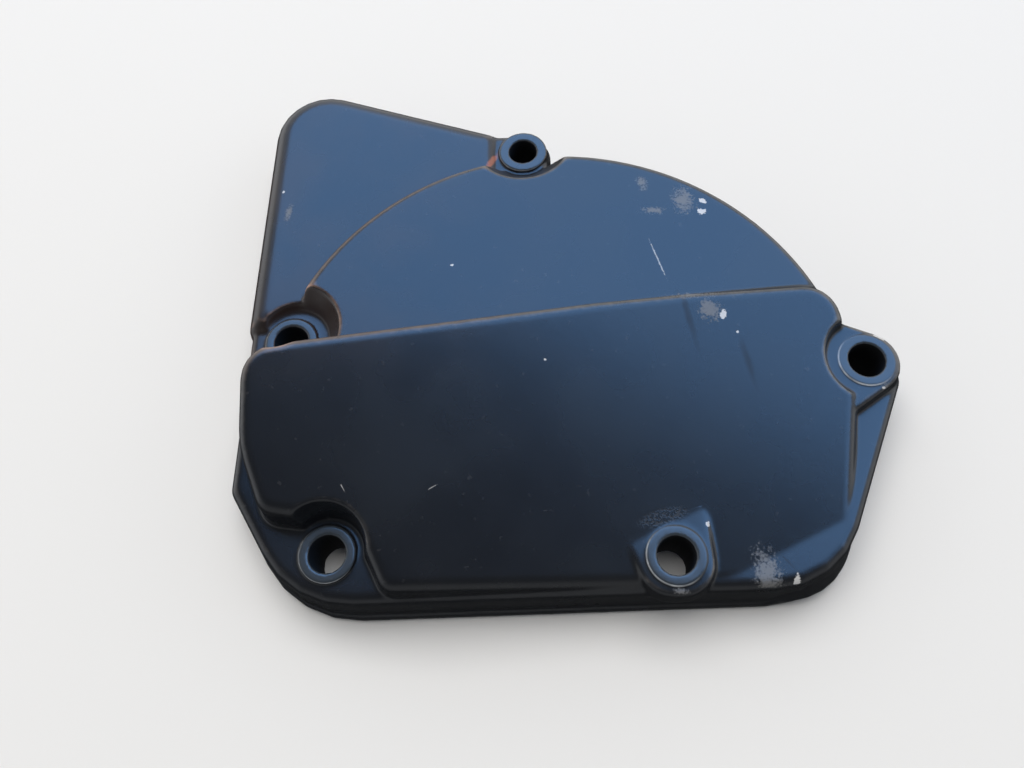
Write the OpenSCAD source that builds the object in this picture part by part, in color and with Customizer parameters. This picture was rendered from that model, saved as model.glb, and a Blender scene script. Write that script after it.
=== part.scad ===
// Ignition cover of a motorcycle engine: one casting, hollow and open underneath.
// The gasket face lies on z = 0 and the outside faces up. X runs along the bottom edge,
// and Y runs towards the flat plate at the upper left. All sizes are in millimetres.

/* [Gasket face] */
// Width of the gasket face
cover_w = 134.8; // [130:0.2:142]
// Height of the gasket face
cover_h = 121.6; // [118:0.2:128]
// Thickness of the flange round the gasket face
flange_t = 2.6; // [1.6:0.2:3.6]
// How far the flange stands out from the wall
flange_lip = 0.8; // [0.4:0.1:1.4]
// Width of the gasket face from the outer edge to the hollow
gasket_w = 6.2; // [5:0.1:7.5]

/* [Casting] */
// Height of the low deck round the screws
deck_z = 11.2; // [10:0.2:12]
// Draft of the outer walls in degrees
draft = 6; // [3:0.5:8]
// Rounding along the shoulder of the deck
shoulder_r = 2; // [1.4:0.2:3]
// Thickness of the top skin
skin_t = 3; // [2.4:0.1:3.6]
// Thickness of the raised walls
wall_t = 3.2; // [2.6:0.1:3.8]

/* [Plate] */
// Height of the flat plate at the upper left
plate_z = 13; // [12.6:0.1:14]
// How far the edge of the plate stands out past the deck
plate_lip = 0.5; // [0.3:0.1:0.8]
// Rounding along the shoulder of the plate
plate_r = 4.2; // [3:0.2:4.8]

/* [Dome] */
// Height of the flat dome
dome_z = 17; // [16:0.1:17.6]
// Radius of the dome at its wall
dome_r = 57.2; // [56:0.2:58.4]
// Rounding of the dome edge
dome_edge_r = 2; // [1.4:0.2:3.2]

/* [Sloped box] */
// Height of the sloped face over its upper left corner
box_high = 24.6; // [23.6:0.2:26]
// Fall of the sloped face in degrees
box_slope = 9.8; // [9.2:0.1:10.4]
// Direction that the face falls in, in degrees from X
box_fall = -65; // [-68:1:-62]
// Rounding along the top edge of the box
box_edge_r = 2.2; // [1.4:0.2:3]

/* [Screws] */
// Screw hole, four of them
screw_d = 7; // [6.4:0.1:7.6]
// Upper screw hole
upper_screw_d = 6.2; // [5.4:0.1:6.8]
// Ring that each screw head sits on
ring_d = 10.8; // [9.8:0.1:11.8]
// Height of the ring over the deck or the platform
ring_rise = 0.8; // [0.6:0.1:1.4]
// Room for the screw head round each ring
head_d = 13.2; // [12.6:0.1:14.4]
// Height of the platform that carries the lower right screw
platform_z = 13.4; // [12.8:0.1:14]
// Height of the ear that carries the right screw
ear_z = 13.8; // [13:0.1:14.4]
// Post round each screw under the skin
post_d = 12.6; // [11.8:0.2:13.4]

/* [Hidden] */
$fn = 60;
left = -cover_w / 2;
right = cover_w / 2;
bottom = -cover_h / 2;
top = cover_h / 2;
over = 1;
hollow_z = deck_z - skin_t;
flange_bevel = 0.8;
step_deg = 18;
least_r = 1.6;
ring_bevel = 0.3;
box_lean = 1;
box_foot_z = flange_t + 0.2;
hollow_foot_z = 3.4;
tall = 40;

// Screw centres: upper, left, lower left, lower right, right
screw_1 = [-7.9, top - 20.2];
screw_2 = [left + 11.4, bottom + 54.4];
screw_3 = [left + 22.9, bottom + 10.6];
screw_4 = [right - 48.3, bottom + 9.4];
screw_5 = [right - 8.7, bottom + 46.8];
dome_c = [-1.8, screw_1.y - 4.7 - dome_r];

// Room for each screw head: centre, radius at the deck and slope of its wall in degrees
ROOM_1 = [screw_1, ring_d / 2 + 0.5, 41];
ROOM_2 = [screw_2 + [1.1, 0.5], head_d / 2, 30];
ROOM_2_BOX = [screw_2, ring_d / 2 + 1.1, 1];
ROOM_3 = [screw_3 + [0.3, 0], head_d / 2 + 0.1, 12];
ROOM_5 = [screw_5, head_d / 2 + 0.5, 15];

// Outlines, counter-clockwise, each corner as x, y and radius
DECK = [
    [left + 1, bottom + 22.4, 4], [left + 15.5, bottom - 0.3, 22], [right - 18, bottom + 2.6, 20],
    [right, bottom + 43.2, 4], [right, screw_5.y + 8, 7.4], [right - 20, screw_5.y + 8.2, 3],
    [screw_1.x + 7.2, screw_1.y - 14, 3], [screw_1.x + 7.2, screw_1.y + 7.2, 7],
    [screw_1.x - 7, screw_1.y + 7.2, 9], [left + plate_lip, top + 4.8, 13]
];
PLATE = [
    [left, screw_2.y + 0.4, 1.2], [-30, screw_2.y + 0.4, 2], [screw_1.x - 4, screw_1.y - 8, 2],
    [screw_1.x - 4, screw_1.y + 6.6, 2], [left, top + 5.4, 13.4]
];
BOX = [
    [left + 4.6, bottom + 48.8, 8], [left + 5.6, bottom + 28.8, 20], [left + 10.6, bottom + 16, 5],
    [screw_3.x + 5, screw_3.y + 3, 3], [left + 33.4, bottom + 2, 4], [right - 20, bottom + 3.8, 12],
    [right - 14.4, bottom + 12.8, 13], [right - 10, bottom + 41.8, 5], [right - 12.6, bottom + 63.4, 8],
    [14.6, bottom + 60, 300]
];
HOLLOW = [
    [left + gasket_w + 1, bottom + 26, 6], [left + 19, bottom + gasket_w, 12],
    [right - 22, bottom + gasket_w + 2.6, 14], [right - gasket_w - 3, bottom + 38.8, 4],
    [screw_5.x - 6.3, screw_5.y + 3.3, 4], [screw_1.x + 2, screw_1.y - 16.5, 4],
    [screw_1.x - 8, screw_1.y + 0.8, 4], [left + gasket_w + plate_lip, top - 3.8, 8]
];
PLATFORM = [
    [screw_4.x - 9.8, screw_4.y + 4.2, 2], [screw_4.x - 5.2, screw_4.y - 7.2, 6.2],
    [screw_4.x + 7.4, screw_4.y - 7.2, 6.2], [screw_4.x + 6.2, screw_4.y + 10.6, 1.6]
];
EAR = [
    [screw_5.x + 13.7, screw_5.y + 1.2, 6.5], [screw_5.x - 9.5, screw_5.y + 11, 1.6],
    [screw_5.x - 9.5, screw_5.y - 5, 1.6], [screw_5.x - 4.2, screw_5.y - 10.9, 1.6]
];

function unit(v) = v / norm(v);
function flat(p) = [p.x, p.y];
function turn_of(a, b, c) = cross(flat(b) - flat(a), flat(c) - flat(b));

// One rounded corner b between a and c, moved in by d, as a list of points
function corner(a, b, c, d) =
    let (u = unit(flat(a) - flat(b)), v = unit(flat(c) - flat(b)))
    let (half = acos(u * v) / 2, side = sign(turn_of(a, b, c)))
    let (r = side > 0 ? max(b[2] - d, least_r) : b[2] + d)
    let (centre = flat(b) + unit(u + v) * (r + side * d) / sin(half))
    let (from = atan2(side * u.x, -side * u.y), sweep = side * (180 - 2 * half))
    let (n = max(1, ceil((180 - 2 * half) / step_deg)))
    [for (k = [0 : n]) centre + r * [cos(from + sweep * k / n), sin(from + sweep * k / n)]];

function ring(list, d) =
    let (n = len(list))
    [for (i = [0 : n - 1]) each corner(list[(i + n - 1) % n], list[i], list[(i + 1) % n], d)];

// Solid through rings that all have as many points, closed at both ends by fans round a hub
// that sees the whole outline
module loft(rings, hub) {
    n = len(rings[0]);
    m = len(rings);
    low = middle(rings[0], hub);
    high = middle(rings[m - 1], hub);
    points = concat([for (r = rings) each r], [low, high]);
    sides = [for (j = [0 : m - 2], i = [0 : n - 1])
        each quad(j * n + i, j * n + (i + 1) % n, (j + 1) * n + (i + 1) % n, (j + 1) * n + i)];
    ends = [for (i = [0 : n - 1])
        each [[n * m, i, (i + 1) % n], [n * m + 1, (m - 1) * n + (i + 1) % n, (m - 1) * n + i]]];
    polyhedron(points, concat(sides, ends));
}

function quad(a, b, c, d) = [[a, c, b], [a, d, c]];
function middle(list, hub) = is_undef(hub) ? mean(list) : [hub.x, hub.y, list[0].z];
function mean(list) = [for (k = [0 : 2]) vsum([for (p = list) p[k]]) / len(list)];
function vsum(v, i = 0) = i < len(v) ? v[i] + vsum(v, i + 1) : 0;
function at(list, z) = [for (p = list) [p.x, p.y, z]];

// Wall that leans in by the draft and turns over into a flat top: pairs of inset and height
function wall_steps(d, z0, z1, r) =
    let (lean = (z1 - r - z0) * tan(draft))
    concat([[d, z0]], [for (k = [0 : 4]) [d + lean + r * (1 - cos(k * 22.5)), z1 - r + r * sin(k * 22.5)]]);

function with_flange(z0, z1, r) =
    concat([[0, z0], [0, flange_t]], wall_steps(flange_lip, flange_t + flange_bevel, z1, r));

// Height of the sloped face over a point
function slope_z(p) =
    box_high - tan(box_slope) * ((flat(p) - flat(BOX[0])) * [cos(box_fall), sin(box_fall)]);

function on_slope(list, drop) = [for (p = list) [p.x, p.y, slope_z(p) - drop]];

// Flanged form that starts under the gasket face, where the cover is cut flat later
module raised(list, foot, z, r, hub) {
    loft([for (s = with_flange(foot, z, r)) at(ring(list, s[0]), s[1])], hub);
}

module deck() {
    raised(DECK, -over, deck_z, shoulder_r, [screw_1.x - 12, screw_5.y - 12]);
}

module plate() {
    raised(PLATE, -2 * over, plate_z, plate_r);
}

// Everything north of the step between the dome and the box
module above_step(shift) {
    linear_extrude(height = 2 * tall, center = true)
        polygon([[-cover_w, bottom + 39 - shift], [14.6, bottom + 54.8 - shift],
            [cover_w, bottom + 57 - shift], [cover_w, cover_h], [-cover_w, cover_h]]);
}

module dome() {
    foot_r = dome_r + (dome_z - dome_edge_r - flange_t) * tan(draft);
    intersection() {
        translate(dome_c)
            rotate_extrude()
                polygon(concat(
                    [[0, -3 * over], [foot_r + flange_lip, -3 * over], [foot_r + flange_lip, flange_t],
                        [foot_r, flange_t + flange_bevel]],
                    [for (a = [0 : 15 : 90]) [dome_r - dome_edge_r * (1 - cos(a)),
                        dome_z - dome_edge_r * (1 - sin(a))]],
                    [[0, dome_z]]));
        above_step(0);
    }
}

module box() {
    turn = [for (a = [0 : 22.5 : 90]) [box_lean + box_edge_r * (1 - cos(a)), box_edge_r * (1 - sin(a))]];
    loft(concat([at(ring(BOX, -box_lean), box_foot_z)], [for (s = turn) on_slope(ring(BOX, s[0]), s[1])]));
}

// Flat-topped land round a screw, with a small rounding along its edge
module land(list, foot_z, z) {
    steps = [[-0.6, foot_z], [0, z - 0.8], [0.3, z - 0.2], [0.8, z]];
    loft([for (s = steps) at(ring(list, s[0]), s[1])]);
}

module head_room(room, grow = 0) {
    translate([room[0].x, room[0].y, hollow_z + (grow > 0 ? -0.7 : skin_t - 0.4)])
        cylinder(r1 = room[1] + grow, r2 = room[1] + grow + tall * tan(room[2]), h = tall);
}

module hollow() {
    difference() {
        union() {
            loft([at(ring(HOLLOW, 0), -4 * over), at(ring(HOLLOW, 0.4), hollow_z - 1.2),
                at(ring(HOLLOW, 1.6), hollow_z)]);
            loft([at(ring(PLATE, gasket_w), hollow_foot_z), at(ring(PLATE, gasket_w), plate_z - skin_t)]);
            dome_hollow();
            loft([at(ring(BOX, wall_t - box_lean), hollow_foot_z),
                on_slope(ring(BOX, wall_t + box_lean), skin_t + 1.2),
                on_slope(ring(BOX, wall_t + box_lean + 1.6), skin_t)]);
        }
        for (room = [ROOM_1, ROOM_2, ROOM_3, ROOM_5])
            head_room(room, wall_t);
    }
}

module dome_hollow() {
    r = dome_r + flange_lip + 1.4 - gasket_w;
    z = dome_z - skin_t;
    intersection() {
        translate([dome_c.x, dome_c.y, 0])
            rotate_extrude()
                polygon([[0, -5 * over], [r, -5 * over], [r, z - 2], [r - 0.6, z - 0.6], [r - 2, z], [0, z]]);
        above_step(1);
    }
}

module post(p, z) {
    translate([p.x, p.y, 0]) {
        cylinder(d = post_d, h = hollow_z + 1);
        cylinder(d = ring_d, h = z - ring_bevel);
        translate([0, 0, z - ring_bevel])
            cylinder(d1 = ring_d, d2 = ring_d - 2 * ring_bevel, h = ring_bevel);
    }
}

module bore(p, d) {
    translate([p.x, p.y, -over])
        cylinder(d = d, h = tall);
}

// Everything under the gasket face
module under() {
    translate([-cover_w, -cover_h, -tall])
        cube([2 * cover_w, 2 * cover_h, tall]);
}

module cover() {
    color("#39424f")
        difference() {
            union() {
                difference() {
                    union() {
                        deck();
                        difference() {
                            union() {
                                plate();
                                dome();
                            }
                            head_room(ROOM_1);
                            head_room(ROOM_2);
                        }
                        difference() {
                            box();
                            head_room(ROOM_2_BOX);
                            head_room(ROOM_3);
                            head_room(ROOM_5);
                        }
                        land(PLATFORM, hollow_z + 1, platform_z);
                        land(EAR, hollow_z + 1, ear_z);
                    }
                    hollow();
                }
                for (p = [screw_1, screw_2, screw_3])
                    post(p, deck_z + ring_rise);
                post(screw_4, platform_z + ring_rise);
                post(screw_5, ear_z + ring_bevel);
            }
            under();
            bore(screw_1, upper_screw_d);
            for (p = [screw_2, screw_3, screw_4, screw_5])
                bore(p, screw_d);
        }
}

cover();
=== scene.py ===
import math

import bmesh
import bpy
import numpy as np
import openvdb as vdb
from mathutils import Matrix, Vector


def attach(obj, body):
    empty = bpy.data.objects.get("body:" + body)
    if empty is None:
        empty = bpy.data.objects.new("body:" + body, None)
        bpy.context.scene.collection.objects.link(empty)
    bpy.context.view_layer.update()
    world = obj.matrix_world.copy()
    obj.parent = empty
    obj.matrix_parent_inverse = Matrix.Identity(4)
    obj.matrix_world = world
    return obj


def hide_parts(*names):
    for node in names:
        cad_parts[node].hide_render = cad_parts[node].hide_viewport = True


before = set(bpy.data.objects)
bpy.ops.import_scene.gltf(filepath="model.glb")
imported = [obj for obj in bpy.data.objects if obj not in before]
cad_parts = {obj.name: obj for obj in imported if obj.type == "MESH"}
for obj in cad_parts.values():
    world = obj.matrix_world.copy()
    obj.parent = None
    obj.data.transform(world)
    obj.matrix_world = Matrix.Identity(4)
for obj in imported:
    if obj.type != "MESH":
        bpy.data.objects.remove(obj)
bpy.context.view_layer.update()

# Camera. It looks down on the cover from the side of its bottom edge, from close by, as the
# photograph was taken, and the picture is 1024 by 768.
eye = Vector((-0.00333, -0.07945, 0.157))
to_right = (0.99883, 0.0, -0.0484)
to_top = (0.01915, 0.91838, 0.3953)
to_eye = (0.04445, -0.39577, 0.9173)
focal_pixels = 796
picture_width = 1024
film_width = 36
nearest_seen = 0.01

camera_data = bpy.data.cameras.new("camera")
camera_data.sensor_fit = "HORIZONTAL"
camera_data.sensor_width = film_width
camera_data.lens = focal_pixels / picture_width * film_width
camera_data.clip_start = nearest_seen
camera = bpy.data.objects.new("camera", camera_data)
camera_turn = Matrix((to_right, to_top, to_eye)).transposed().to_4x4()
camera.matrix_world = Matrix.Translation(eye) @ camera_turn
bpy.context.scene.collection.objects.link(camera)
bpy.context.scene.camera = camera


# Floor. A plain pale sheet that the cover lies on, wide enough to fill the view. The cover
# doesn't mirror it, as set with the lights.
class Finish:
    """The node tree of one material, or of the room. Any node comes from its one method."""

    def __init__(self, owner):
        self.owner = owner
        owner.use_nodes = True
        self.tree = owner.node_tree
        self.tree.nodes.clear()

    def node(self, kind, settings, values, out=0):
        made = self.tree.nodes.new(kind)
        for key, value in settings.items():
            setattr(made, key, value)
        for key, value in values.items():
            socket = made.inputs[key]
            if isinstance(value, Signal):
                self.tree.links.new(value.socket, socket)
            elif socket.type == "RGBA":
                socket.default_value = (*value, 1)
            else:
                socket.default_value = value
        return None if out is None else Signal(self, made.outputs[out])

    def ends_in(self, shader, kind="ShaderNodeOutputMaterial"):
        """Closes the tree with its output, and gives back the material or the room."""
        self.node(kind, {}, {"Surface": shader}, out=None)
        return self.owner


class Signal:
    """One socket of a finish. Sums and products of signals add Math nodes."""

    def __init__(self, finish, socket):
        self.finish = finish
        self.socket = socket

    def maths(self, operation, *values):
        places = dict(enumerate(values))
        return self.finish.node("ShaderNodeMath", {"operation": operation}, places)

    def __add__(self, other):
        return self.maths("ADD", self, other)

    def __sub__(self, other):
        return self.maths("SUBTRACT", self, other)

    def __rsub__(self, other):
        return self.maths("SUBTRACT", other, self)

    def __mul__(self, other):
        return self.maths("MULTIPLY", self, other)

    def most(self, other):
        return self.maths("MAXIMUM", self, other)

    def least(self, other):
        return self.maths("MINIMUM", self, other)

    def step(self, low, high):
        """Goes smoothly from 0 at low to 1 at high."""
        return self.finish.node(
            "ShaderNodeMapRange", {"interpolation_type": "SMOOTHSTEP"},
            {"Value": self, "From Min": low, "From Max": high},
        )

    def over(self, below, above):
        """Mixes two colours, with this signal as the share of the upper one."""
        return self.finish.node(
            "ShaderNodeMix", {"data_type": "RGBA"},
            {"Factor": self, 6: below, 7: above}, out=2,
        )


floor_half = 3.0
floor_drop = 0.00005
floor_pale = (0.78, 0.775, 0.76)
floor_dim = (0.7, 0.69, 0.67)
floor_roughness = 0.85
grain_scale = 900.0
grain_share = 0.05

sides = [(-1, -1), (1, -1), (1, 1), (-1, 1)]
corners = [(x * floor_half, y * floor_half, -floor_drop) for x, y in sides]
floor_mesh = bpy.data.meshes.new("floor")
floor_mesh.from_pydata(corners, [], [(0, 1, 2, 3)])
floor = bpy.data.objects.new("floor", floor_mesh)
bpy.context.scene.collection.objects.link(floor)
sheet = Finish(bpy.data.materials.new("floor_sheet"))
place = sheet.node("ShaderNodeTexCoord", {}, {}, out=3)
grain = sheet.node(
    "ShaderNodeTexNoise", {}, {"Vector": place, "Scale": grain_scale, "Detail": 3.0})
floor_mesh.materials.append(sheet.ends_in(sheet.node("ShaderNodeBsdfPrincipled", {}, {
    "Base Color": (grain * grain_share).over(floor_pale, floor_dim),
    "Roughness": floor_roughness,
})))


# Lights. A soft key high over the far edge and the glow of a room light the floor and the
# cover. A blue panel overhead, which shines only in what is glossy, is mirrored by the level
# faces, and its near edge lies where the sloped face falls out of it into the dark.
def panel(name, place, turn, size, power, colour):
    """An area light at that place, turned by those degrees, with its width and its length."""
    light = bpy.data.lights.new(name, "AREA")
    light.shape = "RECTANGLE"
    light.size, light.size_y = size
    light.energy = power
    light.color = colour
    lamp = bpy.data.objects.new(name, light)
    lamp.location = place
    lamp.rotation_euler = [math.radians(angle) for angle in turn]
    bpy.context.scene.collection.objects.link(lamp)
    return lamp


key = panel(
    "key", place=(-0.15, 0.55, 1.5), turn=(-20, 0, -5), size=(1.8, 1.4), power=29,
    colour=(1.0, 0.975, 0.95))
key.visible_glossy = False
sky = panel(
    "sky", place=(0.497, 0.839, 1.1), turn=(0, 0, -23), size=(2.6, 1.5), power=64,
    colour=(0.2, 0.46, 0.94))
sky.visible_diffuse = False
floor.visible_glossy = False

# The room is dark but for a band round its horizon, fainter on the near side. Where the camera
# looks straight at the room it's plain and pale.
room_colour = (0.93, 0.96, 1.0)
room_dark = 0.04
room_glow = 1.3
room_near = 0.3
room_seen = 0.8

room = Finish(bpy.data.worlds.new("room"))
ray = room.node("ShaderNodeTexCoord", {}, {}, out=0)
ray_depth = room.node("ShaderNodeSeparateXYZ", {}, {"Vector": ray}, out=1)
ray_height = room.node("ShaderNodeSeparateXYZ", {}, {"Vector": ray}, out=2)
horizon = ray_height.step(-0.4, -0.05) * (1 - ray_height.step(0.3, 0.8))
horizon = horizon * (ray_depth.step(-0.8, 0.3) * (1 - room_near) + room_near)
seen = room.node("ShaderNodeLightPath", {}, {}, out=0)
bpy.context.scene.world = room.ends_in(room.node("ShaderNodeBackground", {}, {
    "Color": room_colour,
    "Strength": (horizon * room_glow + room_dark) * (1 - seen) + seen * room_seen,
}), "ShaderNodeOutputWorld")
bpy.context.scene.view_settings.view_transform = "Standard"

# Cover casting. One die casting of light alloy with cast fillets where its forms meet, a
# flange round the gasket face, and five machined rings that the screw heads sit on.
# All its lengths are in millimetres. Each screw has the place of its axis, the radius of its
# hole, the height of the seat under its ring and the height of the ring's top.
per_metre = 1000
screws = {
    "upper": (-7.9, 40.6, 3.1, 11.2, 12.0),
    "left": (-56.0, -6.4, 3.5, 11.2, 12.0),
    "lower_left": (-44.5, -50.2, 3.5, 11.2, 12.0),
    "lower_right": (19.1, -51.4, 3.5, 13.4, 13.8),
    "right": (58.7, -14.0, 3.5, 13.8, 14.0),
}
ring_radius = 5.4
ring_bevel = 0.12
ring_foot = 0.3
ring_spare = 0.2
hole_bevel = 0.1
flange_fillet = 0.3
cast_fillet = 0.32
machined_fillet = 0.13
fillet_change = 3.0
fillet_change_span = 2.5
gasket_lead = 1.2
same_place = 1e-7
voxel = 0.3
band = 14
margin = 10
most_faces = 195000
sharp_angle = 50

solid = bmesh.new()
solid.from_mesh(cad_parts["cover"].data)
bmesh.ops.remove_doubles(solid, verts=solid.verts, dist=same_place)
bmesh.ops.triangulate(solid, faces=solid.faces)
corner_points = np.array([v.co for v in solid.verts], np.float32) * per_metre
corner_faces = np.array([[v.index for v in f.verts] for f in solid.faces], np.uint32)
solid.free()

# The solid becomes a field of distances to its skin, below zero inside. Its grid begins at
# the voxel called first and ends at the one called last.
scale = vdb.createLinearTransform(voxelSize=voxel)
shape = vdb.FloatGrid.createLevelSetFromPolygons(
    corner_points, triangles=corner_faces, transform=scale, halfWidth=float(band))
first = np.floor(corner_points.min(0) / voxel).astype(int) - margin
last = np.ceil(corner_points.max(0) / voxel).astype(int) + margin
field = np.empty(tuple(last - first + 1), np.float32)
shape.copyToArray(field, ijk=tuple(int(n) for n in first))
xs = ((first[0] + np.arange(field.shape[0])) * voxel)[:, None, None].astype(np.float32)
ys = ((first[1] + np.arange(field.shape[1])) * voxel)[None, :, None].astype(np.float32)
zs = ((first[2] + np.arange(field.shape[2])) * voxel)[None, None, :].astype(np.float32)


def softened(volume, radius):
    """The volume blurred by a bell curve of that radius."""
    sigma = radius / voxel
    reach = int(math.ceil(3 * sigma))
    weights = np.exp(-0.5 * (np.arange(-reach, reach + 1) / sigma) ** 2)
    weights /= weights.sum()
    for axis in range(3):
        padding = [(reach, reach) if a == axis else (0, 0) for a in range(3)]
        spread = np.pad(volume, padding, mode="edge")
        total = np.zeros_like(volume)
        for k, weight in enumerate(weights):
            cut = [slice(None)] * 3
            cut[axis] = slice(k, k + volume.shape[axis])
            total += np.float32(weight) * spread[tuple(cut)]
        volume = total
    return volume


# The rings are taken down to their seats before the blur and set on again after it, so that
# they stay crisp. The gasket face is carried on downwards before it and cut flat after it.
for x, y, hole, seat, height in screws.values():
    away = np.hypot(xs - x, ys - y)
    field = np.maximum(field, np.minimum(zs - seat, ring_radius + ring_spare - away))
level = int(np.argmin(np.abs(zs[0, 0] - gasket_lead)))
field[:, :, :level] = field[:, :, level:level + 1]
share = np.clip((zs - fillet_change) / fillet_change_span, 0, 1)
field = softened(field, flange_fillet) * (1 - share) + softened(field, cast_fillet) * share
for x, y, hole, seat, height in screws.values():
    away = np.hypot(xs - x, ys - y)
    ring = np.maximum(away - ring_radius, zs - height)
    ring = np.maximum(ring, (away - ring_radius + zs - height + ring_bevel) / math.sqrt(2))
    gap = np.maximum(ring_foot - np.abs(field - ring), 0)
    field = np.minimum(field, ring) - gap * gap / (4 * ring_foot)
    mouth = (hole + hole_bevel - (height - zs) - away) / math.sqrt(2)
    field = np.maximum(field, np.minimum(mouth, hole + hole_bevel - away))
    field = np.maximum(field, hole - away)
field = softened(field, machined_fillet)

# How far the blurred field leaves zero at the skin tells how sharply the skin bends there:
# it's above zero along ridges and below zero in hollows.
bend_reach = 1.2
broad_blur = 0.9
narrow_blur = 0.45
shallow = np.clip(field, -bend_reach, bend_reach)
broad = softened(shallow, broad_blur)
narrow = softened(shallow, narrow_blur)
field = np.maximum(field, -zs)

shape = vdb.FloatGrid()
shape.copyFromArray(field, ijk=tuple(int(n) for n in first))
shape.transform = scale
shape.gridClass = vdb.GridClass.LEVEL_SET
skin_points, skin_triangles, skin_quads = shape.convertToPolygons(
    isovalue=0.0, adaptivity=0.0)
skin_faces = [list(f) for f in skin_triangles.tolist()]
skin_faces += [list(f) for f in skin_quads.tolist()]
skin_mesh = bpy.data.meshes.new("cast_skin")
skin_mesh.from_pydata((skin_points / per_metre).tolist(), [], skin_faces)
skin = bpy.data.objects.new("cast_skin", skin_mesh)
bpy.context.scene.collection.objects.link(skin)
thin = skin.modifiers.new("thin", "DECIMATE")
thin.ratio = min(1.0, most_faces / (2 * len(skin_quads) + len(skin_triangles)))
thin.use_collapse_triangulate = True
thinned = skin.evaluated_get(bpy.context.evaluated_depsgraph_get())
cast_mesh = bpy.data.meshes.new_from_object(thinned)
bpy.data.objects.remove(skin)
shell = bmesh.new()
shell.from_mesh(cast_mesh)
if shell.calc_volume(signed=True) < 0:
    bmesh.ops.reverse_faces(shell, faces=shell.faces)
shell.to_mesh(cast_mesh)
shell.free()
cast_mesh.name = "cover_casting"
casting = bpy.data.objects.new("cover_casting", cast_mesh)
bpy.context.scene.collection.objects.link(casting)
cast_mesh.shade_smooth()
cast_mesh.set_sharp_from_angle(angle=math.radians(sharp_angle))

count = len(cast_mesh.vertices)
skin_places = np.empty(count * 3, np.float32)
cast_mesh.vertices.foreach_get("co", skin_places)
skin_places = skin_places.reshape(-1, 3) * per_metre
facing = np.empty(count * 3, np.float32)
cast_mesh.vertices.foreach_get("normal", facing)
facing = facing.reshape(-1, 3)


def read(volume, places):
    """The volume's value at each place, worked out from its eight neighbours."""
    steps = places / voxel - first
    low = np.clip(np.floor(steps).astype(int), 0, np.array(volume.shape) - 2)
    part = steps - low
    total = np.zeros(len(places), np.float32)
    for i in (0, 1):
        for j in (0, 1):
            for k in (0, 1):
                weight = np.ones(len(places), np.float32)
                for axis, side in enumerate((i, j, k)):
                    weight *= part[:, axis] if side else 1 - part[:, axis]
                total += weight * volume[low[:, 0] + i, low[:, 1] + j, low[:, 2] + k]
    return total


# Four traits of the skin: its narrow edges and its broader shoulders, which carry painted
# highlights, its nooks, which carry painted shade, and how steep it is. Faces that look down
# the picture get no painted edge highlights.
full_edge = 0.16
full_shoulder = 0.2
full_nook = 0.5
highlight_facing_start = -0.75
highlight_facing_span = 0.6
steep_start = 1.3
steep_fall = 1.4

wide_bend = read(broad, skin_places)
fine_bend = read(narrow, skin_places)
highlight_facing = np.clip((facing[:, 1] - highlight_facing_start) / highlight_facing_span, 0, 1)
traits = {
    "edge": np.clip(fine_bend / full_edge, 0, 1) * highlight_facing,
    "shoulder": np.clip(wide_bend / full_shoulder, 0, 1) * highlight_facing,
    "nook": np.clip(-wide_bend / full_nook, 0, 1),
    "steep": np.clip(steep_start - steep_fall * facing[:, 2], 0, 1),
}
for name, values in traits.items():
    layer = cast_mesh.attributes.new(name, "FLOAT", "POINT")
    layer.data.foreach_set("value", values.astype(np.float32))

# The paint. Places on it are in millimetres, across and along the cover and above its gasket
# face. The three noises run from clouds over specks to grit.
cloud_scale = 45.0
speck_scale = 700.0
grit_scale = 2400.0
wall_cut = 4

paint = Finish(bpy.data.materials.new("satin_paint"))
spot = paint.node("ShaderNodeTexCoord", {}, {}, out=3)
across, along, above = [
    paint.node("ShaderNodeSeparateXYZ", {}, {"Vector": spot}, out=axis) * per_metre
    for axis in range(3)
]
edge, shoulder, nook, steep = [
    paint.node("ShaderNodeAttribute", {"attribute_name": name}, {}, out=2)
    for name in ("edge", "shoulder", "nook", "steep")
]
cloud, speck, grit = [
    paint.node("ShaderNodeTexNoise", {}, {"Vector": spot, "Scale": size, "Detail": detail})
    for size, detail in ((cloud_scale, 4.0), (speck_scale, 4.0), (grit_scale, 3.0))
]
speck_sway = speck - 0.5
grit_sway = grit - 0.5
on_wall = steep.step(0.35, 0.75)


def mark(x, y, half_long, half_wide, turn=0):
    """How far a place lies inside an oval mark: 1 at its middle and 0 at its edge."""
    inside = paint.node("ShaderNodeMapping", {"vector_type": "TEXTURE"}, {
        "Vector": spot,
        "Location": (x / per_metre, y / per_metre, 0),
        "Rotation": (0, 0, math.radians(turn)),
        "Scale": (half_long / per_metre, half_wide / per_metre, 1),
    })
    middle = paint.node(
        "ShaderNodeVectorMath", {"operation": "LENGTH"}, {"Vector": inside}, out=1)
    return 1 - middle


def any_of(marks):
    """The nearest of several marks, each given as mark() takes it, and none on the walls."""
    nearest = mark(*marks[0])
    for values in marks[1:]:
        nearest = nearest.most(mark(*values))
    return nearest - on_wall * wall_cut


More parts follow.
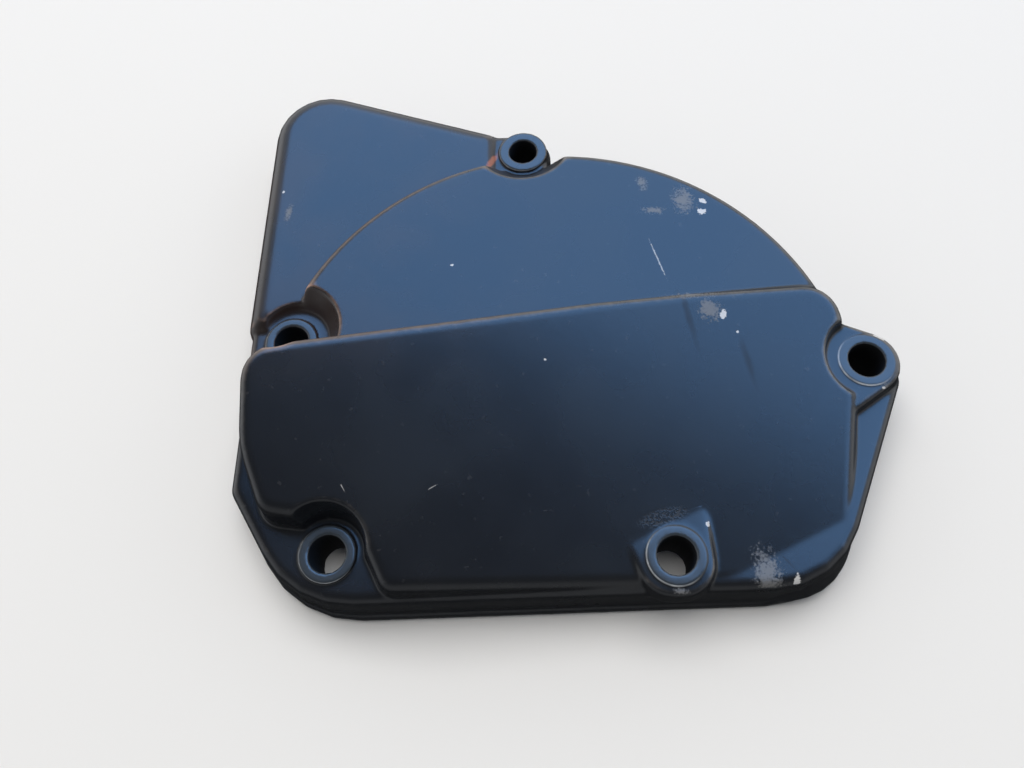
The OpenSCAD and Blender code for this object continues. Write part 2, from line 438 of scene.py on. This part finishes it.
# Wear, as the photograph shows it. Each mark has its place, its half length and half width,
# and its turn in degrees.
scuffs = [
    (19.4, 20.0, 2.8, 1.2, 0), (25.9, 22.3, 2.8, 4.2, 10), (17.6, 27.0, 1.4, 2.2, 20),
    (25.0, -1.3, 6.2, 1.4, 4), (28.6, -4.8, 2.9, 2.9, 0), (35.3, -54.2, 3.0, 5.4, 12),
    (61.3, -19.6, 1.3, 1.0, 30), (-59.7, 25.0, 0.9, 2.8, -6), (19.5, -57.6, 1.6, 0.8, 0),
]
chips = [
    (29.8, 22.1, 1.2, 0.6, -40), (29.4, 19.3, 1.1, 0.9, 0), (31.0, -6.0, 1.1, 0.8, 70),
    (40.4, -56.0, 0.8, 1.6, -15), (25.2, -45.9, 0.5, 0.7, 0), (62.0, -9.2, 1.7, 0.45, -35),
    (-22.5, 7.9, 0.4, 0.35, 0), (-3.7, -15.3, 0.35, 0.35, 0), (-61.5, 30.6, 0.45, 0.45, 0),
    (33.5, -9.4, 0.35, 0.3, 0), (60.9, -19.9, 0.7, 0.4, 20),
]
scratches = [
    (19.55, 8.15, 5.2, 0.18, -73), (-40.8, -39.6, 1.0, 0.1, 120),
    (-24.6, -39.4, 1.1, 0.1, 30),
]
rust = [(-15.0, 37.8, 3.8, 0.8, 66)]
pits = [(17.2, -44.4, 6.0, 1.8, 17)]
streaks = [
    (24.2, -6.2, 8.8, 0.9, -78), (35.2, -15.6, 6.6, 1.0, -77), (39.0, -52.1, 2.7, 0.3, -51),
]

scuff = (any_of(scuffs) * 1.1 + speck_sway * 1.7 + grit_sway * 2.2).step(0.1, 0.9)
chip = (any_of(chips) + speck_sway * 1.4 + grit_sway * 1.2).step(0.15, 0.35)
pitted = any_of(pits).step(0.0, 0.5) * grit.step(0.45, 0.6)
rusty = (any_of(rust) + speck_sway * 1.2).step(0.0, 0.7)
dust = speck.step(0.66, 0.74)
scratch = (any_of(scratches) + grit_sway * 2.0).step(0.0, 0.5)
streak = (any_of(streaks) + speck_sway * 0.8).step(0.0, 0.8)

# The machined tops of the rings, the walls of the holes, darkened as painted shade, and a
# painted highlight line round each ring on the side of the lower left.
bore_spare = 0.25
line_narrow = 900
machined = 0.0
bored = 0.0
painted_rim_highlight = 0.0
for x, y, hole, seat, height in screws.values():
    disc = mark(x, y, ring_radius, ring_radius)
    bore = mark(x, y, hole + bore_spare, hole + bore_spare)
    top_begins = above.step(height - 0.35, height - 0.15)
    top_ends = above.step(height + 0.3, height + 0.5)
    top = top_begins * (1 - top_ends)
    machined = disc.step(-0.01, 0.03) * top + machined
    bored = bore.step(0.0, 0.04) * (1 - top) + bored
    lower_left = (x + y - across - along).step(-2.0, 5.0)
    painted_rim_highlight = (1 - disc * disc * line_narrow).step(0.0, 0.8) * top * lower_left + painted_rim_highlight
machined = machined.least(1.0)
bored = bored.least(1.0)
painted_rim_highlight = painted_rim_highlight.least(1.0)
painted = 1 - machined

paint_dark = (0.0085, 0.0095, 0.012)
paint_light = (0.0115, 0.0125, 0.0145)
brown_reflection = (0.026, 0.017, 0.013)
ring_blue = (0.03, 0.038, 0.048)
nook_painted_shade = (0.005, 0.0055, 0.007)
wall_brown_reflection = (0.055, 0.03, 0.022)
dust_grey = (0.12, 0.12, 0.125)
shoulder_highlight_grey = (0.1, 0.092, 0.085)
shoulder_highlight_brown = (0.13, 0.085, 0.065)
edge_highlight_grey = (0.25, 0.23, 0.21)
edge_highlight_brown = (0.36, 0.2, 0.14)
rust_red = (0.33, 0.1, 0.045)
rim_highlight_grey = (0.4, 0.42, 0.44)
scuff_grey = (0.14, 0.138, 0.135)
bare_metal = (0.55, 0.55, 0.55)
bore_painted_shade = (0.004, 0.004, 0.0045)

# The upper left of the cover is browner than the rest, as a painted warm reflection, at its
# painted edge highlights most of all.
painted_warm_reflection = (1 - across.step(-48.0, 12.0)) * along.step(-26.0, -4.0)
# Painted highlight: lighter shoulders on faces turned away from the camera side.
painted_shoulder_highlight = (shoulder * 1.6 - 0.8 + speck_sway * 0.6).step(0.0, 0.8) * painted
painted_shoulder_highlight = painted_shoulder_highlight * (along.step(-30.0, -10.0) * 0.5 + 0.25)
# Painted highlight: light lines on narrow edges turned away from the camera side.
painted_edge_highlight = (edge * 1.5 - 0.6 + speck_sway * 0.5).step(0.0, 0.55) * painted
colour = cloud.step(0.3, 0.7).over(paint_dark, paint_light)
# Painted warm reflection: clouds of brown on the upper left.
colour = (painted_warm_reflection * cloud.step(0.35, 0.65) * 0.5).over(colour, brown_reflection)
colour = (machined * (cloud * 0.8 + 0.6)).over(colour, ring_blue)
# Painted shade: the nooks darkened.
colour = (nook * 0.5).over(colour, nook_painted_shade)
# Painted warm reflection on the steep walls of the upper left.
colour = (painted_warm_reflection * steep * 0.55).over(colour, wall_brown_reflection)
colour = (dust * 0.1).over(colour, dust_grey)
# Painted highlight on the shoulders, grey, and brown on the upper left.
colour = painted_shoulder_highlight.over(colour, painted_warm_reflection.over(shoulder_highlight_grey, shoulder_highlight_brown))
# Painted highlight on the narrow edges, grey, and brown on the upper left.
colour = (painted_edge_highlight * (painted_warm_reflection * 0.25 + 0.5)).over(colour, painted_warm_reflection.over(edge_highlight_grey, edge_highlight_brown))
colour = (rusty * 0.85).over(colour, rust_red)
# Painted highlight: a light line round each ring on its lower left side.
colour = (painted_rim_highlight * (speck * 1.2)).over(colour, rim_highlight_grey)
colour = (scuff * 0.8 + pitted * 0.15).over(colour, scuff_grey)
colour = (chip.most(scratch * 0.6) * 0.9).over(colour, bare_metal)
# Painted shade: the walls of the holes darkened.
colour = bored.over(colour, bore_painted_shade)

paint_roughness = 0.22
relief_strength = 0.14
relief_depth = 0.0001
gloss_loss = cloud * 0.1 + nook * 0.12 + scuff * 0.25 + streak * 0.22 + bored * 0.4
relief = paint.node("ShaderNodeBump", {}, {
    "Strength": relief_strength,
    "Distance": relief_depth,
    "Height": grit * 0.4 + speck * 0.6 - chip * 0.8 - pitted * 2.0,
})
cast_mesh.materials.clear()
cast_mesh.materials.append(paint.ends_in(paint.node("ShaderNodeBsdfPrincipled", {}, {
    "Base Color": colour,
    "Roughness": gloss_loss + paint_roughness,
    "Normal": relief,
})))

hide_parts("cover")
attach(casting, "root")
